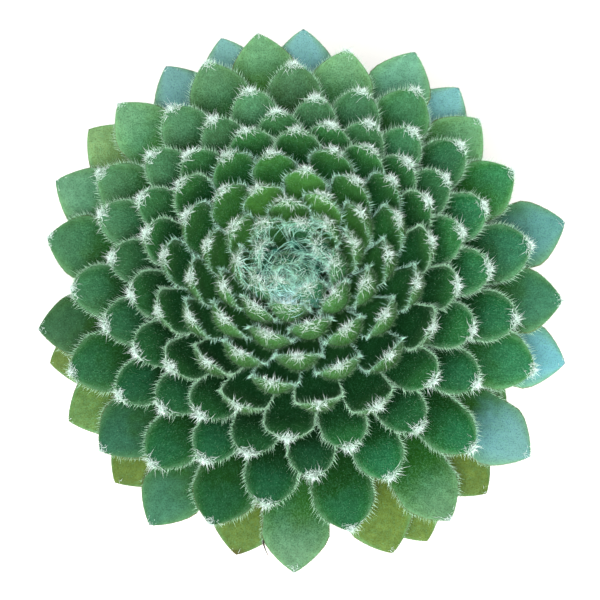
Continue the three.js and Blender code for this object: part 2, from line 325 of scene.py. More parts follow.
def leaf_material():
    """Dark green at the root, partly painted shade, velvety and paler to the tip, olive margins on the
    opened leaves.
    """
    n = Nodes("leaf_skin")
    age, along = n.attribute("age"), n.attribute("along")
    across, face = n.attribute("across"), n.attribute("face")
    chance, hue = n.attribute("chance"), n.attribute("hue")
    painted_glow, light, pale = n.attribute("painted_glow"), n.attribute("light"), n.attribute("pale")
    patch = n.noise(260, 2)
    mottle = n.noise(900, 3, 0.6)
    fine = n.noise(5200, 2, 0.7)
    grid = n.joined(n.times(across, 16.0), n.times(along, 26.0), n.times(age, 900.0))
    streaks = n.noise(1.6, 2, 0.6, vector=grid)
    wide = n.math("ABSOLUTE", across)
    wander = n.plus(along, n.times(patch, 0.3))

    # The green of the body and of the tip, both by age. The darker body towards the root is partly the
    # leaf's own colour and partly painted shade where it lies under other leaves
    body = n.ramp(age, [
        (0.00, (24, 84, 70)), (0.05, (44, 94, 42)), (0.14, (46, 104, 38)), (0.30, (20, 78, 32)),
        (0.55, (2, 52, 8)), (0.66, (6, 62, 6)), (0.74, (22, 82, 10)), (0.82, (44, 98, 20)),
        (1.00, (66, 106, 46))])
    tips = n.ramp(age, [
        (0.00, (54, 128, 118)), (0.05, (70, 124, 68)), (0.16, (62, 116, 50)), (0.50, (30, 88, 42)),
        (0.66, (24, 94, 44)), (0.76, (42, 110, 54)), (0.86, (92, 146, 96)), (1.00, (106, 144, 84))])
    colour = n.mix(n.between(wander, 0.84, 1.13), body, tips)

    # Blue, teal and olive leaves (the heart's blue towards the front is painted light), lighter margins,
    # the painted glow of light on some young leaves on the upper side, and velvet down, paler on one
    # side of the head as painted light
    inside = n.between(n.plus(wide, n.times(mottle, 0.4)), 1.15, 0.45)
    blue = n.times(n.between(hue, 0.0, 0.9), n.between(wander, 0.76, 1.04))
    blue = n.times(blue, n.between(inside, 0.0, 1.0, 0.6, 1.0))
    colour = n.tint(blue, colour, (120, 180, 200))
    teal = n.times(n.between(age, 0.5, 0.6), n.between(wander, 0.88, 1.02))
    colour = n.tint(n.times(n.times(teal, inside), 0.34), colour, (26, 98, 76))
    colour = n.tint(n.times(n.between(hue, 0.0, -1.0), 0.85), colour, (114, 132, 50))
    margin = n.times(n.between(wide, 0.62, 1.0), n.between(age, 0.6, 0.8))
    colour = n.tint(n.times(margin, 0.34), colour, (80, 128, 52))
    # Painted light: young leaves on the upper side of the head are painted lighter yellow-green
    colour = n.tint(n.times(painted_glow, 0.72), colour, (88, 148, 60))
    # Pale down towards the tip, partly the down's own colour and partly painted light that is heavier on
    # one side of the head
    velvet_and_painted_light = n.times(pale, n.between(n.plus(along, n.times(fine, 0.3)), 0.84, 1.12))
    colour = n.tint(velvet_and_painted_light, colour, (162, 192, 152))

    # The lower face
    back_tone = n.ramp(age, [(0.0, (36, 108, 80)), (0.06, (68, 112, 52)), (0.3, (66, 104, 46)),
                             (0.5, (72, 104, 50))])
    colour = n.mix(n.times(n.between(face, 0.2, -0.2), 0.72), colour, back_tone)

    # Streaks, light and dark specks, blotches, and the fuzz of the margins
    colour = n.tint(n.between(streaks, 0.52, 0.72, 0.0, 0.26), colour, (88, 158, 116))
    colour = n.tint(n.between(fine, 0.50, 0.66, 0.0, 0.24), colour, (96, 168, 128))
    colour = n.tint(n.between(fine, 0.34, 0.5, 0.4, 0.0), colour, (8, 40, 20))
    blotches = n.times(n.between(mottle, 0.35, 0.7, 0.25, 0.0), n.between(blue, 0.0, 1.0, 1.0, 0.3))
    colour = n.tint(blotches, colour, (12, 50, 20))
    fuzz = n.times(n.between(n.plus(wide, n.times(mottle, 0.2)), 0.86, 1.12),
                   n.between(age, 0.05, 0.3, 0.1, 0.3))
    colour = n.tint(n.times(fuzz, n.between(wander, 0.8, 1.0)), colour, (124, 180, 136))

    # Painted shade towards the root where each leaf goes under others, the dry tip, each leaf's own tone
    # times the painted light and shade of its side of the head, and the old leaves' rims
    shade = n.between(along, n.between(age, 0.3, 0.75, 0.8, 0.66), n.between(age, 0.3, 0.75, 0.96, 0.88),
                      n.plus(n.between(age, 0.66, 0.80, 0.6, 0.86),
                             n.between(age, 0.5, 0.2, 0.0, 0.22)), 1.0)
    colour = n.shaded(colour, shade)
    dry = n.between(n.attribute("dry"), 0.5, 1.0)
    colour = n.tint(n.times(dry, 0.8), colour, (84, 64, 36))
    colour = n.shaded(colour, n.times(n.plus(0.69, n.times(chance, 0.26)), light))
    rim = n.times(n.between(wide, 0.94, 1.0), n.between(age, 0.68, 0.82))
    colour = n.tint(n.times(rim, 0.5), colour, (124, 110, 66))
    relief = n.plus(n.times(fine, 0.4), n.times(mottle, 0.6))
    return n.finish(colour, 0.55, n.bump(relief, 0.35, 0.0002), Sheen_Weight=0.03,
                    Sheen_Roughness=0.4, Sheen_Tint=linear(170, 214, 180), Specular_IOR_Level=0.07)


def web_material():
    """Pale hairs over the heart, with painted light: whiter and bluer where it opens to the front."""
    n = Nodes("web_hair")
    colour = n.ramp(n.attribute("reach"), [(0.0, (58, 150, 130)), (0.35, (168, 236, 214)),
                                           (1.0, (180, 242, 222))])
    # Painted bluish light on the hairs towards the front
    front = n.between(n.axis(1), WEB_FRONT[0] * MM, WEB_FRONT[1] * MM)
    colour = n.tint(front, colour, (196, 244, 255))
    return n.finish(colour, 0.4, Specular_IOR_Level=0.5, Sheen_Weight=0.3)


def hair_material(name, root_tone, tip_tone):
    """Hair that reaches its tip's tone a third of the way along."""
    n = Nodes(name)
    colour = n.ramp(n.attribute("reach"), [(0.0, root_tone), (0.35, tip_tone), (1.0, tip_tone)])
    return n.finish(colour, 0.4, Specular_IOR_Level=0.5, Sheen_Weight=0.3)


# The rosette's leaves
def rise(leaf, middle, spread):
    """From 0 to 1 with the leaf's number, half of it at the middle."""
    return 1 / (1 + np.exp((middle - leaf) / spread))


def smooth_step(value):
    value = np.clip(value, 0, 1)
    return value * value * (3 - 2 * value)


def vary(leaf, channel):
    """A fixed chance value of a leaf, from -0.5 to 0.5, one for each channel."""
    wave = np.sin(leaf * 12.9898 + channel * 78.233) * 43758.5453
    return wave - np.floor(wave) - 0.5


leaves = np.arange(-BUD_LEAVES - HEART_LEAVES, FULL_LEAVES).astype(float)
in_heart = leaves < -BUD_LEAVES
stage_of_life = np.maximum(leaves + BUD_LEAVES + 1, 0) / (FULL_LEAVES + BUD_LEAVES)
root_radius = STEM_RADIUS * np.sqrt(stage_of_life)
root_depth = STEM_TOP_DEPTH + STEM_RISE * stage_of_life

aside = np.radians([ASIDE.get(int(leaf), 0.0) for leaf in leaves])
turn_of = FIRST_ANGLE + leaves * GOLDEN_ANGLE + aside
angle = turn_of + HEAD_TWIST * np.cos(2 * turn_of)
even = (FIRST_TIP_RADIUS + TIP_SPREAD * leaves - TIP_CROWDING * leaves ** 2
        + OPENED_SPREAD * rise(leaves, OPENED_LEAF, OPENED_RANGE))
tip_radius = even * (1 - HEAD_WARP * (even / HEAD_RADIUS) * np.sin(2 * turn_of))
extra_reach = np.array([REACH.get(int(leaf), 0.0) for leaf in leaves])
tip_radius += extra_reach
tip_height = (-DOME_DROP * smooth_step((even - DOME_START) / DOME_RANGE)
              - DROOP_PER_LEAF * np.maximum(leaves - DROOP_FROM, 0)
              + DRAWN_DROP * np.minimum(extra_reach + 2, 0))
bud_share = np.clip((leaves + BUD_LEAVES + 1) / (BUD_LEAVES + 1), 0, 1)
tip_radius = np.where(leaves < 0, FIRST_TIP_RADIUS * bud_share ** 0.8, tip_radius)
tip_height = np.where(leaves < 0, -BUD_DEPTH * (1 - bud_share), tip_height)
# The youngest leaves of all fill the hollow in the middle
heart_share = np.clip(1 + (leaves + BUD_LEAVES) / HEART_LEAVES, 0, 1)
tip_radius = np.where(in_heart, HEART_RADIUS * np.sqrt(heart_share), tip_radius)
tip_height = np.where(in_heart, -HEART_DEPTH + HEART_RISE * heart_share ** 2, tip_height)

out = tip_radius - root_radius
up = tip_height + root_depth
chord = np.arctan2(up, out)
lean = np.radians(OUTER_LEAN + ADDED_LEAN * (1 - rise(leaves, LEAN_LEAF, LEAN_RANGE))
                  + YOUNG_LEAN * np.exp(-np.maximum(leaves, 0) / YOUNG_LEAN_RANGE)
                  + FRONT_LEAN * np.cos(angle - FRONT_TURN) * (1 - rise(leaves, FRONT_LEAF, FRONT_RANGE))
                  + vary(leaves, 4) * LEAN_SWAY)
lean = np.where(in_heart, np.radians(HEART_LEAN), lean)
start = chord - (lean - chord) * ROOT_DIP
handle = np.hypot(out, up) * HANDLE_SHARE
outward = [root_radius, root_radius + handle * np.cos(start),
           tip_radius - handle * np.cos(lean), tip_radius]
upward = [-root_depth, -root_depth + handle * np.sin(start),
          tip_height - handle * np.sin(lean), tip_height]
bud = YOUNG_WIDTH + (BUD_WIDTH - YOUNG_WIDTH) * np.clip(-leaves / BUD_LEAVES, 0, 1)
grown = (YOUNG_WIDTH + WIDTH_GAIN * (1 - np.exp(-np.maximum(leaves, 0) / WIDTH_LEAF))
         + OPENED_WIDTH * rise(leaves, OPENED_WIDTH_LEAF, OPENED_WIDTH_RANGE))
half_width = np.where(leaves < 0, bud, grown) * (1 + vary(leaves, 3) * WIDTH_SWAY) / 2
opened = rise(leaves, OPENED_WIDTH_LEAF, OPENED_WIDTH_RANGE)
shouldered = rise(leaves, SHOULDER_LEAF, SHOULDER_RANGE)
thickness = (LEAF_THICKNESS + (YOUNG_THICKNESS - LEAF_THICKNESS)
             * np.exp(-(leaves + BUD_LEAVES) / THICKNESS_LEAF) - OPENED_THINNING * opened)
cup = CUP_SHARE * half_width * (1 - rise(leaves, CUP_LEAF, CUP_RANGE))
hook = TIP_HOOK * (1 - rise(leaves, HOOK_LEAF, HOOK_RANGE))
shift_x = np.interp(leaves, DRIFT_LEAVES, DRIFT_X)
shift_y = (np.interp(leaves, DRIFT_LEAVES, DRIFT_Y) - np.where(leaves < 0, BUD_LEAN, 0.0)
           + np.where(in_heart, HEART_SHIFT, 0.0))
leaf_length = np.hypot(out, up) * 1.05


def curve(values, which, along):
    """A point of a leaf's middle line from its four control values, root to tip."""
    first, second, third, last = (value[which] for value in values)
    rest = 1 - along
    return (first * rest ** 3 + 3 * second * rest ** 2 * along + 3 * third * rest * along ** 2
            + last * along ** 3)


def pace(values, which, along):
    """How fast that line moves on at the same point."""
    first, second, third, last = (value[which] for value in values)
    rest = 1 - along
    return ((second - first) * rest ** 2 + 2 * (third - second) * rest * along
            + (last - third) * along ** 2)


def outline(which, along):
    """Share of the leaf's full half width, from its root to its tip."""
    shoulder, wide = shouldered[which], opened[which]
    widest = WIDEST_AT + SHOULDER_WIDEST * shoulder
    fall = TIP_FALL - SHOULDER_FALL * shoulder - OPENED_FALL * wide
    power = TIP_BLUNTNESS + SHOULDER_POINT * shoulder + OPENED_POINT * wide
    below = ROOT_WIDTH_SHARE + (1 - ROOT_WIDTH_SHARE) * np.sin(
        np.clip(along / widest, 0, 1) * np.pi / 2) ** 1.3
    above = np.maximum(1 - np.clip((along - widest) / (1 - widest), 0, 1) ** fall, 0) ** power
    return np.where(along < widest, below, above)


def fullness(along):
    """Share of the leaf's full thickness, from its root to its tip."""
    below = ROOT_THICKNESS_SHARE + (1 - ROOT_THICKNESS_SHARE) * np.sin(
        np.clip(along / THICKEST_AT, 0, 1) * np.pi / 2)
    above = np.maximum(1 - np.clip((along - THICKEST_AT) / (1 - THICKEST_AT), 0, 1) ** 3.2, 0)
    return np.where(along < THICKEST_AT, below, above)


def on_leaf(which, along, across, through):
    """A point of a leaf: along from root to tip, across from -1 to 1, through from -1 to 1."""
    width = half_width[which] * outline(which, along)
    share = np.where(through > 0, UPPER_SHARE, 1 - UPPER_SHARE)
    lift = (through * share * thickness[which] * fullness(along)
            + cup[which] * across ** 2 * width / half_width[which])
    lift = lift + hook[which] * smooth_step((along - HOOK_FROM) / (1 - HOOK_FROM)) ** 1.3
    side = across * width
    slope = np.arctan2(pace(upward, which, along), pace(outward, which, along))
    reach = curve(outward, which, along) - lift * np.sin(slope)
    height = curve(upward, which, along) + lift * np.cos(slope)
    turn = angle[which]
    return np.stack([reach * np.cos(turn) + side * np.sin(turn) + shift_x[which] * along,
                     reach * np.sin(turn) - side * np.cos(turn) + shift_y[which] * along,
                     height + PLANT_TOP], -1)


def lens(across):
    """Half the section's depth, from 1 at the middle to 0 at the margins."""
    return np.maximum(1 - across * across, 0) ** 0.72


def frame_on_leaf(which, along, across, through_sign):
    """Point, outward normal, direction to the tip and direction to the side of a leaf's face."""
    step = 0.01
    point = on_leaf(which, along, across, through_sign * lens(across))
    ahead = on_leaf(which, np.minimum(along + step, 1), across, through_sign * lens(across))
    behind = on_leaf(which, along - step, across, through_sign * lens(across))
    right_edge = np.minimum(across + step, 1)
    left_edge = np.maximum(across - step, -1)
    right = on_leaf(which, along, right_edge, through_sign * lens(right_edge))
    left = on_leaf(which, along, left_edge, through_sign * lens(left_edge))
    forward = unit(ahead - behind)
    sideways = unit(right - left)
    normal = unit(np.cross(sideways, forward)) * through_sign[:, None]
    return point, normal, forward, sideways


def unit(vector):
    return vector / np.maximum(np.linalg.norm(vector, axis=-1, keepdims=True), 1e-9)


def leaf_looks():
    """What the skin's material reads of each leaf, one value a leaf."""
    hue = np.array([HUES.get(int(leaf), 0.0) for leaf in leaves])
    # Painted bluish light: the heart's leaves turn bluer towards the front
    hue = np.where(leaves < 0, HEART_BLUE * np.clip(-np.sin(angle), 0, 1), hue)
    # Painted light and shade by side of the head: lighter towards LIGHT_TURN, darker towards SHADE_TURN,
    # times each leaf's tone from TONES
    light = 1 + LIGHT_SIDE * np.cos(angle - LIGHT_TURN) * rise(leaves, LIGHT_LEAF, LIGHT_RANGE)
    light *= [TONES.get(int(leaf), 1.0) for leaf in leaves]
    light *= 1 - (SHADE_SIDE * np.clip(np.cos(angle - SHADE_TURN), 0, 1)
                  * rise(leaves, SHADE_FROM, SHADE_FROM_RANGE)
                  * (1 - rise(leaves, SHADE_TO, SHADE_TO_RANGE)))
    # Pale down painted heavier towards PALE_TURN as painted light, plus each leaf's own share from PALE
    pale = (PALE_SIDE * np.clip(np.cos(angle - PALE_TURN), 0, 1)
            * rise(leaves, PALE_LEAF, PALE_RANGE))
    pale += np.array([PALE.get(int(leaf), 0.0) for leaf in leaves])
    # Painted light on the young leaves round GLOW_LEAF that stand on the upper side of the head
    painted_glow = (np.exp(-((leaves - GLOW_LEAF) / GLOW_RANGE) ** 2)
            * np.clip(np.sin(angle) + 0.1, 0, 1))
    return {"age": np.maximum(leaves, 0) / FULL_LEAVES, "chance": vary(leaves, 7) + 0.5,
            "hue": hue, "painted_glow": painted_glow, "light": light, "pale": pale}


def leaf_faces(number):
    """Faces of a number of leaves: rings of quads, a cap at each tip and a foot at each root."""
    row, column = np.meshgrid(np.arange(LEAF_ROWS - 1), np.arange(SECTION_POINTS), indexing="ij")
    here = row * SECTION_POINTS + column
    beside = row * SECTION_POINTS + (column + 1) % SECTION_POINTS
    quads = np.stack([here, here + SECTION_POINTS, beside + SECTION_POINTS, beside], -1).reshape(-1, 4)
    tip = LEAF_ROWS * SECTION_POINTS
    ring = np.arange(SECTION_POINTS) + tip - SECTION_POINTS
    cap = np.stack([ring, np.full(SECTION_POINTS, tip), np.roll(ring, -1)], -1)
    foot = np.arange(SECTION_POINTS)[None, :]
    offset = (np.arange(number) * (tip + 1))[:, None, None]
    return [(group[None] + offset).reshape(-1, group.shape[1]) for group in (quads, cap, foot)]


def leaf_meshes(first, last, name, material):
    """One piece with the leaves of a range of numbers."""
    which = np.arange(len(leaves))[(leaves >= first) & (leaves < last)]
    number = len(which)
    along = 1 - (1 - np.arange(LEAF_ROWS) / LEAF_ROWS) ** 1.5
    phase = 2 * np.pi * np.arange(SECTION_POINTS) / SECTION_POINTS
    across = np.cos(phase)
    through = np.sign(np.sin(phase)) * lens(across)
    through[[0, SECTION_POINTS // 2]] = 0
    grid_which = np.repeat(which, LEAF_ROWS * SECTION_POINTS)
    grid_along = np.tile(np.repeat(along, SECTION_POINTS), number)
    grid_across = np.tile(across, LEAF_ROWS * number)
    grid_through = np.tile(through, LEAF_ROWS * number)
    body = on_leaf(grid_which, grid_along, grid_across, grid_through).reshape(number, -1, 3)
    ones, zeros = np.ones(number), np.zeros(number)
    ends = on_leaf(which, ones, zeros, zeros)[:, None]
    points = np.concatenate([body, ends], 1).reshape(-1, 3)

    def spread(values, tip_values):
        return np.concatenate([values.reshape(number, -1), tip_values.reshape(number, 1)], 1)

    attributes = {key: spread(values[grid_which], values[which])
                  for key, values in leaf_looks().items()}
    attributes["along"] = spread(grid_along, ones)
    attributes["across"] = spread(grid_across, zeros)
    attributes["face"] = spread(grid_through, zeros)
    dry = np.where(leaves[grid_which] == DRY_TIP_LEAF, (grid_along - DRY_FROM) / DRY_RANGE, 0.0)
    attributes["dry"] = spread(dry, np.where(leaves[which] == DRY_TIP_LEAF, 1.0, 0.0))
    return make_piece(name, points, leaf_faces(number), material, attributes)


# Hairs
def hair_mesh(name, roots, heading, curl, length, radius, steps, material):
    """Tapered three-sided hairs. Each starts at its root and bends by curl on its way."""
    count = len(roots)
    heading = unit(heading)
    helper = np.where(np.abs(heading[:, 2:3]) < 0.9, [[0, 0, 1]], [[1, 0, 0]])
    first = unit(np.cross(heading, helper))
    second = np.cross(heading, first)
    length, radius = np.broadcast_to(length, count), np.broadcast_to(radius, count)
    rings = []
    reach = []
    for step in range(steps):
        share = step / steps
        centre = roots + length[:, None] * (share * heading + share * share * curl)
        size = radius * (1 - 0.75 * share)
        for corner in range(3):
            turn = 2 * np.pi * corner / 3
            rings.append(centre + size[:, None] * (math.cos(turn) * first + math.sin(turn) * second))
            reach.append(np.full(count, share))
    rings.append(roots + length[:, None] * (heading + curl))
    reach.append(np.ones(count))
    points = np.stack(rings, 1)
    per_hair = points.shape[1]
    quads, tris = [], [[2, 1, 0]]
    for step in range(steps - 1):
        for corner in range(3):
            a, b = step * 3 + corner, step * 3 + (corner + 1) % 3
            quads.append([a, b, b + 3, a + 3])
    top = (steps - 1) * 3
    for corner in range(3):
        tris.append([top + corner, top + (corner + 1) % 3, per_hair - 1])
    offset = (np.arange(count) * per_hair)[:, None, None]
    faces = []
    if quads:
        faces.append((np.array(quads)[None] + offset).reshape(-1, 4))
    faces.append((np.array(tris)[None] + offset).reshape(-1, 3))
    return make_piece(name, points.reshape(-1, 3), faces, material,
                      {"reach": np.stack(reach, 1)})


def random_unit(count):
    return unit(rng.normal(size=(count, 3)))


def tip_tufts(name, first, last, per_tip, radius, steps, material):
    """A wisp of fine hairs round each tip: straight on young leaves, woolly on grown ones."""
    fewer = (1 - TUFT_LOSS * rise(leaves, TUFT_LOSS_LEAF, TUFT_LOSS_RANGE)
             - LATE_TUFT_LOSS * rise(leaves, LATE_TUFT_LOSS_LEAF, TUFT_LOSS_RANGE))
    per_leaf = np.round(per_tip * fewer * ((leaves >= first) & (leaves < last))).astype(int)
    per_leaf[leaves < 0] //= BUD_TUFT_PART
    which = np.repeat(np.arange(len(leaves)), per_leaf)
    count = len(which)
    young = 1 - rise(leaves[which], 15, 4)
    along = 1 - (TUFT_DEPTH + YOUNG_TUFT_DEPTH * young) * rng.random(count) ** 1.3
    across = rng.uniform(-0.92, 0.92, count)
    side = np.where(rng.random(count) < 0.4, 1.0, -1.0)
    point, normal, forward, sideways = frame_on_leaf(which, along, across, side)
    heading = (forward * 0.35 + normal * 0.3 + sideways * (across * 0.4)[:, None]
               + random_unit(count) + 0.3 * STRAIGHT_UP)
    length = ((TUFT_LENGTH + TUFT_LENGTH_SPREAD * rng.random(count) ** 1.2)
              * (1 - 0.4 * rise(leaves, 108, 5)[which]))
    length = length * (1 + 0.22 * young)
    curl = random_unit(count) * (0.2 + 0.4 * rise(leaves[which], 60, 12))[:, None]
    return hair_mesh(name, point, heading, curl, length, radius, steps, material)


def margin_hairs(name, first, last, gap, lengths, radius, material):
    """A comb of hairs along both margins of each leaf."""
    places = []
    for index, leaf in enumerate(leaves):
        if not first <= leaf < last:
            continue
        number = int(leaf_length[index] * MARGIN_SHARE / gap)
        if leaf >= BARE_LEAF:
            number = int(number * (BARE_SHARE if leaf < BARER_LEAF else BARER_SHARE))
        for edge in (-1, 1):
            spot = 1 - MARGIN_SHARE * (np.arange(number) + rng.random(number)) / max(number, 1)
            places.append(np.stack([np.full(number, index), spot, np.full(number, edge)], -1))
    places = np.concatenate(places)
    which, along, edge = places[:, 0].astype(int), places[:, 1], places[:, 2]
    count = len(which)
    across = edge * (1 - 0.06 * rng.random(count))
    side = np.where(rng.random(count) < 0.5, 1.0, -1.0)
    point, normal, forward, sideways = frame_on_leaf(which, along, across, side)
    heading = (sideways * edge[:, None] * 0.9 + forward * 0.7 + normal * 0.1
               + random_unit(count) * 0.16 + 0.15 * STRAIGHT_UP)
    shorter = 1 - SHORT_MARGIN_LOSS * rise(leaves, SHORT_MARGIN_LEAF, SHORT_MARGIN_RANGE)
    length = rng.uniform(*lengths, count) * shorter[which]
    return hair_mesh(name, point, heading, 0 * heading, length, radius, 1, material)


def face_hairs(name, side_sign, per_leaf, long, thick, material):
    """Down that lies forward over a face, and stands out from the backs of the young leaves."""
    young = 1 - rise(leaves, DOWN_LEAF, DOWN_RANGE)
    smoother = 1 - SMOOTH_LOSS * rise(leaves, SMOOTH_LEAF, SMOOTH_RANGE)
    counts = np.round(per_leaf[0] * young + per_leaf[1] * (1 - young) * smoother)
    counts = np.where(in_heart, 0, counts).astype(int)
    which = np.repeat(np.arange(len(leaves)), counts)
    count = len(which)
    nearest = np.where(leaves[which] < OPEN_LEAF, HIDDEN_SHARE, OPEN_HIDDEN_SHARE)
    along = nearest + (1 - nearest) * rng.random(count) ** (0.8 - 0.25 * young[which])
    across = np.sin(rng.uniform(-1, 1, count) * np.pi / 2 * 0.97)
    fringe = np.sign(across) * (1 - 0.22 * rng.random(count) ** 1.4)
    across = np.where(rng.random(count) < 0.4 * side_sign, fringe, across)
    side = np.full(count, float(side_sign))
    point, normal, forward, sideways = frame_on_leaf(which, along, across, side)
    lying = np.where(side_sign < 0, 0.3 + 0.9 * opened[which], 0.9)[:, None]
    heading = normal * 0.6 + forward * lying + sideways * (across * 0.7)[:, None]
    heading = heading + random_unit(count) * 0.3
    length = rng.uniform(0.5, 1.0, count) * long * (1 - 0.5 * opened[which])
    return hair_mesh(name, point, heading, 0 * heading, length, thick, 1, material)


def bud_web(material):
    """Long fine hairs that sweep round the hollow in the middle."""
    young = np.flatnonzero(leaves < WEB_LEAVES)
    number = np.where(in_heart, HEART_WEB_HAIRS, np.where(leaves < 0, BUD_WEB_HAIRS, YOUNG_WEB_HAIRS))
    which = np.repeat(young, number[young])
    count = len(which)
    along = 1 - np.where(leaves[which] < 0, 0.25, 0.2) * rng.random(count)
    across = rng.uniform(-1, 1, count)
    side = np.where(rng.random(count) < 0.85, 1.0, -1.0)
    point = on_leaf(which, along, across, side * lens(across))
    middle = np.array([DRIFT_X[0], DRIFT_Y[0] - BUD_LEAN + HEART_SHIFT / 2, PLANT_TOP - 1.0])
    inward = unit(middle - point)
    swirl = np.cross(STRAIGHT_UP, -inward)
    heading = (inward * rng.uniform(-0.1, 0.5, (count, 1)) + swirl * rng.uniform(-0.5, 1.7, (count, 1))
               + random_unit(count) * 0.25 + 0.3 * STRAIGHT_UP)
    length = rng.uniform(*WEB_LENGTHS, count)
    curl = inward * rng.uniform(0.2, 0.6, (count, 1)) - 0.22 * STRAIGHT_UP
    return hair_mesh("bud_web", point, heading, curl, length, WEB_RADIUS, WEB_STEPS, material)


def dry_thread(material):
    """The brown thread of a spent stalk that sticks out under one of the lowest leaves."""
    leaf = np.array([THREAD_LEAF + BUD_LEAVES + HEART_LEAVES])
    root, _, forward, sideways = frame_on_leaf(
        leaf, np.array([THREAD_ALONG]), np.array([THREAD_SIDE]), np.array([-1.0]))
    heading = forward + sideways * THREAD_SIDE * 0.42
    curl = sideways * -0.25
    return hair_mesh("dry_thread", root, heading, curl, THREAD_LENGTH, THREAD_RADIUS,
                     THREAD_STEPS, material)


# Pot, soil and stem
def pot_piece():
    """The pot turned from one closed outline whose corners each have their own rounding."""
    collar_foot = POT_HEIGHT - POT_COLLAR_HEIGHT
    body_top = POT_RIM_RADIUS - POT_COLLAR_STEP
    corners = [
        (DRAIN_RADIUS, 0, HOLE_EDGE), (POT_BASE_RADIUS, 0, POT_EDGE),
        (body_top - POT_COLLAR_TAPER / 2, collar_foot, COLLAR_NOOK),
        (POT_RIM_RADIUS - POT_COLLAR_TAPER, collar_foot, POT_EDGE),
        (POT_RIM_RADIUS, POT_HEIGHT, RIM_EDGE), (POT_INNER_TOP, POT_HEIGHT, RIM_EDGE),
        (POT_INNER_FOOT, POT_FLOOR, FLOOR_NOOK), (DRAIN_RADIUS, POT_FLOOR, HOLE_EDGE)]

    def hand(radius, height, turn):
        """Turning rings and slight dents, where the pot is wide."""
        share = np.clip((radius - POT_INNER_TOP + 1.5) / 3, 0, 1) * np.clip(height / 6, 0, 1)
        rings = 0.05 * np.sin(height * 2.3) + 0.04 * np.sin(height * 5.1 + 1.7)
        dents = 0.06 * np.sin(turn * 3 + height * 0.11) + 0.04 * np.sin(turn * 7 - height * 0.07 + 2)
        return radius - (0.12 + rings + dents) * share * 0.6, height

    points, quads = turned(rounded(corners), POT_SIDES, hand)
    return make_piece("clay_pot", points, [quads], clay_material())


def rounded(corners):
    """A closed profile whose corners are rounded and whose sides are cut into short steps."""
    corners = np.asarray(corners, float)
    out_points = []
    for index in range(len(corners)):
        before, here, after = (corners[(index + k) % len(corners)] for k in (-1, 0, 1))
        to_before, to_after = before[:2] - here[:2], after[:2] - here[:2]
        enter = here[:2] + unit(to_before) * here[2]
        leave = here[:2] + unit(to_after) * here[2]
        for step in range(POT_ARC_STEPS + 1):
            t = step / POT_ARC_STEPS
            out_points.append((1 - t) ** 2 * enter + 2 * t * (1 - t) * here[:2] + t * t * leave)
        target = after[:2] + unit(here[:2] - after[:2]) * after[2]
        distance = np.linalg.norm(target - leave)
        for step in range(1, int(distance / POT_SIDE_STEP)):
            out_points.append(leave + (target - leave) * step * POT_SIDE_STEP / distance)
    return np.array(out_points)


def clay_material():
    """Fired clay with paler bloom, dark pits and fine grain."""
    n = Nodes("fired_clay")
    patch, grain = n.noise(60, 4, 0.6), n.noise(1500, 4, 0.65)
    colour = n.ramp(patch, [(0.3, (168, 92, 60)), (0.5, (184, 104, 70)), (0.72, (196, 122, 88))])
    colour = n.tint(n.between(n.noise(38, 5, 0.7), 0.52, 0.72, 0.0, 0.45), colour, (214, 186, 164))
    colour = n.tint(n.between(n.cells(900), 0.0, 0.16, 0.35, 0.0), colour, (112, 62, 44))
    colour = n.tint(n.between(grain, 0.35, 0.7, 0.0, 0.3), colour, (208, 142, 108))
    relief = n.plus(n.times(grain, 0.5), n.times(n.noise(420, 3), 0.5))
    return n.finish(colour, 0.86, n.bump(relief, 0.4, 0.0003), Specular_IOR_Level=0.3)


def soil_material():
    """Dark soil with paler specks."""
    n = Nodes("potting_soil")
    clods = n.noise(500, 5, 0.7)
    colour = n.ramp(clods, [(0.3, (30, 21, 15)), (0.55, (60, 44, 32)), (0.75, (92, 72, 54))])
    colour = n.tint(n.between(n.cells(700), 0.0, 0.25, 0.5, 0.0), colour, (120, 104, 84))
    return n.finish(colour, 0.95, n.bump(clods, 0.8, 0.0008), Specular_IOR_Level=0.2)


def stem_material():
    """Brown bark of the old stem."""
    n = Nodes("old_stem")
    bark = n.noise(700, 4, 0.65)
    colour = n.ramp(bark, [(0.3, (74, 56, 38)), (0.55, (112, 90, 62)), (0.75, (146, 122, 88))])
    return n.finish(colour, 0.85, n.bump(bark, 0.6, 0.0004))


def soil_height(radius, rim):
    """Height of the soil's surface: it is crowned, and falls towards the pot."""
    share = np.minimum(1, (rim - radius) / (rim * (1 - CROWN_SHOULDER)) * 0.6)
    return POT_HEIGHT - SOIL_BELOW_RIM + SOIL_CROWN * share


def soil_pieces():
    """The filling of the pot, with the stem's hole, and the crumbs on it."""
    top = POT_HEIGHT - SOIL_BELOW_RIM
    slope = (POT_INNER_TOP - POT_INNER_FOOT) / (POT_HEIGHT - POT_EDGE - POT_FLOOR)

    def inner(height):
        return POT_INNER_FOOT + slope * (height - POT_FLOOR) - FIT_GAP

    foot, rim = POT_FLOOR + FIT_GAP, inner(top)
    hole, hole_foot = STEM_FOOT_RADIUS + FIT_GAP, top - STEM_HOLE_DEPTH
    surface = [(radius, soil_height(radius, rim)) for radius in np.linspace(rim, hole, SOIL_RINGS)]
    profile = [(NEAR_AXIS, foot), (inner(foot), foot), *surface, (hole, hole_foot),
               (NEAR_AXIS, hole_foot)]

    def clods(radius, height, turn):
        """Low waves on the surface, and none at the pot's wall and in the stem's hole."""
        inside = np.clip((rim - radius) / 2, 0, 1) * (height > top - 1) * (radius > hole + 0.1)
        x, y = radius * np.cos(turn), radius * np.sin(turn)
        rough = (np.sin(x * 1.9 + 0.7 * y) * np.sin(y * 2.3 - 0.4 * x) * 0.25
                 + np.sin(x * 4.3 + 1.1) * np.sin(y * 5.1 + x) * 0.15)
        return radius, height + inside * rough

    material = soil_material()
    points, quads = turned(profile, SOIL_SIDES, clods)
    soil = make_piece("soil_body", points, [quads], material)
    return soil, crumb_piece(rim, hole, material)


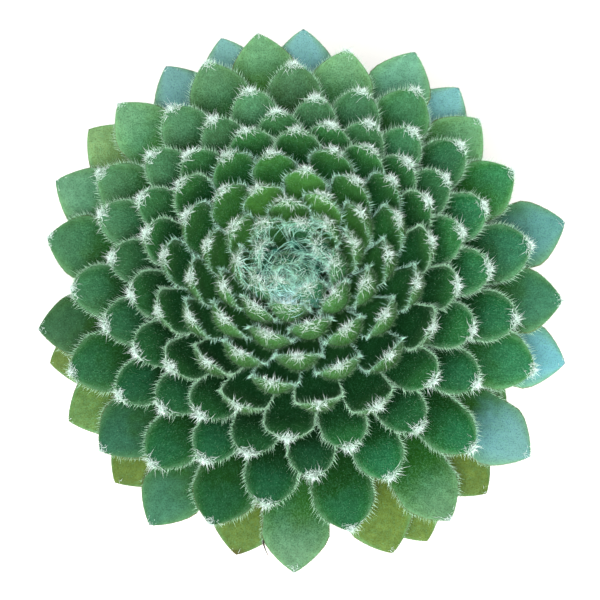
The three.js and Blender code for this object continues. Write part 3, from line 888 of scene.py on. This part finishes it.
def ball_of_twenty():
    """Points and outward faces of a ball with twenty sides."""
    golden = (1 + math.sqrt(5)) / 2
    signs = [(a, b * golden) for a in (-1, 1) for b in (-1, 1)]
    ball = unit(np.array([(0, a, b) for a, b in signs] + [(a, b, 0) for a, b in signs]
                         + [(b, 0, a) for a, b in signs], float))

    def apart(first, second):
        return np.linalg.norm(ball[first] - ball[second])

    faces = []
    for i, j, k in itertools.combinations(range(len(ball)), 3):
        if max(apart(i, j), apart(j, k), apart(i, k)) < 1.2:
            outside = np.dot(np.cross(ball[j] - ball[i], ball[k] - ball[i]), ball[i]) > 0
            faces.append((i, j, k) if outside else (i, k, j))
    return ball, np.array(faces)


def crumb_piece(rim, hole, material):
    """Small lumps of soil that lie half sunk in the surface."""
    ball, sides = ball_of_twenty()
    turn = rng.uniform(0, 2 * np.pi, CRUMBS)
    radius = np.sqrt(rng.uniform((hole + CRUMB_MARGIN) ** 2, (rim - CRUMB_MARGIN) ** 2, CRUMBS))
    size = CRUMB_SIZE + CRUMB_GROWTH * rng.random(CRUMBS) ** 3
    centre = np.stack([radius * np.cos(turn), radius * np.sin(turn), soil_height(radius, rim)], -1)
    squash = rng.uniform(0.6, 1.2, (CRUMBS, 1, 3))
    dented = 1 + rng.uniform(-0.2, 0.2, (CRUMBS, len(ball), 1))
    points = ball[None] * dented * size[:, None, None] * squash + centre[:, None]
    faces = (sides[None] + (np.arange(CRUMBS) * len(ball))[:, None, None]).reshape(-1, 3)
    return make_piece("soil_crumbs", points.reshape(-1, 3), [faces], material)


def stem_piece():
    """The stem under the leaves' roots, with the foot that stands in the soil."""
    profile = [(NEAR_AXIS, -STEM_TOP_DEPTH + FIT_GAP)]
    for ring in np.linspace(0, STEM_LAST_RING, STEM_RINGS):
        leaf = -BUD_LEAVES + (FULL_LEAVES + BUD_LEAVES) * (ring / STEM_LAST_RING) ** 1.5
        share = max(leaf + BUD_LEAVES + 1, 0) / (FULL_LEAVES + BUD_LEAVES)
        profile.append((STEM_RADIUS * math.sqrt(share) + ROOT_SINK * min(1, 0.3 + ring / 2),
                        -(STEM_TOP_DEPTH + STEM_RISE * share)))
    soil_top = POT_HEIGHT - SOIL_BELOW_RIM - PLANT_TOP
    last_radius, last_height = profile[-1]
    foot_top, foot_end = soil_top + SOIL_CROWN + FIT_GAP, soil_top - STEM_HOLE_DEPTH + FIT_GAP
    for share in np.linspace(0.12, 1, FOOT_RINGS):
        profile.append((last_radius + (STEM_FOOT_RADIUS - last_radius) * share,
                        last_height + (foot_top - last_height) * share))
    profile += [(STEM_FOOT_RADIUS, foot_end), (NEAR_AXIS, foot_end)]
    profile = [(radius, height + PLANT_TOP) for radius, height in reversed(profile)]

    def scars(radius, height, turn):
        """Bumps left by old leaves, and none near the axis."""
        bumps = 0.18 * np.sin(turn * 8 + height * 3.1) * np.sin(turn * 5 - height * 4.7)
        return radius + bumps * (radius > 2), height

    points, quads = turned(profile, STEM_SIDES, scars)
    return make_piece("stem", points, [quads], stem_material())


# Build
skin = leaf_material()
down = hair_material("down_hair", (44, 94, 46), (96, 148, 96))
cilia = hair_material("margin_hair", (128, 200, 146), (200, 246, 214))
tufts = hair_material("tuft_hair", (196, 242, 220), (240, 255, 252))
edging = hair_material("young_margin_hair", (112, 194, 160), (196, 250, 230))
fringe = hair_material("fringe_hair", (100, 170, 112), (172, 228, 186))
web = web_material()
husk = hair_material("dry_husk", (48, 42, 28), (40, 30, 20))

inner_leaves = leaf_meshes(-BUD_LEAVES - HEART_LEAVES, PIECE_SPLIT, "leaves_inner", skin)
outer_leaves = leaf_meshes(PIECE_SPLIT, FULL_LEAVES, "leaves_outer", skin)
stem = stem_piece()
rosette_hairs = [
    tip_tufts("young_tufts", -BUD_LEAVES, TUFT_SPLIT, YOUNG_TUFT, YOUNG_TUFT_RADIUS, TUFT_STEPS, tufts),
    tip_tufts("grown_tufts", TUFT_SPLIT, FULL_LEAVES, GROWN_TUFT, GROWN_TUFT_RADIUS, TUFT_STEPS, tufts),
    margin_hairs("young_margins", -BUD_LEAVES, MARGIN_SPLIT, YOUNG_MARGIN_GAP, MARGIN_LENGTHS,
                 YOUNG_MARGIN_RADIUS, edging),
    margin_hairs("margin_hairs", MARGIN_SPLIT, FULL_LEAVES, MARGIN_GAP, MARGIN_LENGTHS,
                 MARGIN_RADIUS, cilia),
    margin_hairs("margin_down", MARGIN_SPLIT, FULL_LEAVES, MARGIN_DOWN_GAP, MARGIN_DOWN_LENGTHS,
                 MARGIN_DOWN_RADIUS, fringe),
    bud_web(web),
    face_hairs("upper_down", 1, UPPER_DOWN, UPPER_DOWN_LENGTH, UPPER_DOWN_RADIUS, down),
    face_hairs("lower_down", -1, LOWER_DOWN, LOWER_DOWN_LENGTH, LOWER_DOWN_RADIUS, down),
    dry_thread(husk)]
for piece in (inner_leaves, outer_leaves, stem, *rosette_hairs):
    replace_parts(piece, "rosette")

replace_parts(pot_piece(), "pot")
for piece in soil_pieces():
    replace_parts(piece, "soil")

# Studio
floor_mesh = bpy.data.meshes.new("floor")
floor_corners = [(FLOOR * x, FLOOR * y, 0) for x, y in ((-1, -1), (1, -1), (1, 1), (-1, 1))]
floor_mesh.from_pydata(floor_corners, [], [(0, 1, 2, 3)])
floor = bpy.data.objects.new("floor", floor_mesh)
bpy.context.scene.collection.objects.link(floor)
paper = Nodes("pale_paper")
floor_mesh.materials.append(paper.finish(
    paper.ramp(paper.noise(3, 2), [(0.3, (250, 250, 249)), (0.7, (253, 253, 252))]), 0.9))

world = bpy.data.worlds.new("studio")
world.use_nodes = True
sky = world.node_tree.nodes["Background"]
sky.inputs["Color"].default_value = SKY_COLOUR
sky.inputs["Strength"].default_value = SKY_STRENGTH
bpy.context.scene.world = world


def lamp(name, place, aim, size, watts, colour):
    """A round lamp that shines from its place towards its aim."""
    light = bpy.data.lights.new(name, "AREA")
    light.shape = "DISK"
    light.size = size
    light.energy = watts
    light.color = colour
    holder = bpy.data.objects.new(name, light)
    holder.location = place
    bpy.context.scene.collection.objects.link(holder)
    away = holder.location - type(holder.location)(aim)
    holder.rotation_euler = away.to_track_quat("Z", "Y").to_euler()


lamp("key", KEY_PLACE, KEY_AIM, KEY_SIZE, KEY_WATTS, KEY_COLOUR)

camera_data = bpy.data.cameras.new("camera")
camera = bpy.data.objects.new("camera", camera_data)
bpy.context.scene.collection.objects.link(camera)
bpy.context.scene.camera = camera
back = np.array([0, -math.cos(ELEVATION), math.sin(ELEVATION)])
camera.location = (TARGET + back * DISTANCE) * MM
camera.rotation_euler = (math.pi / 2 - ELEVATION, 0, 0)
camera_data.lens = LENS
camera_data.sensor_width = SENSOR_WIDTH
camera_data.clip_start = CLIP_START
bpy.context.scene.view_settings.view_transform = "Standard"
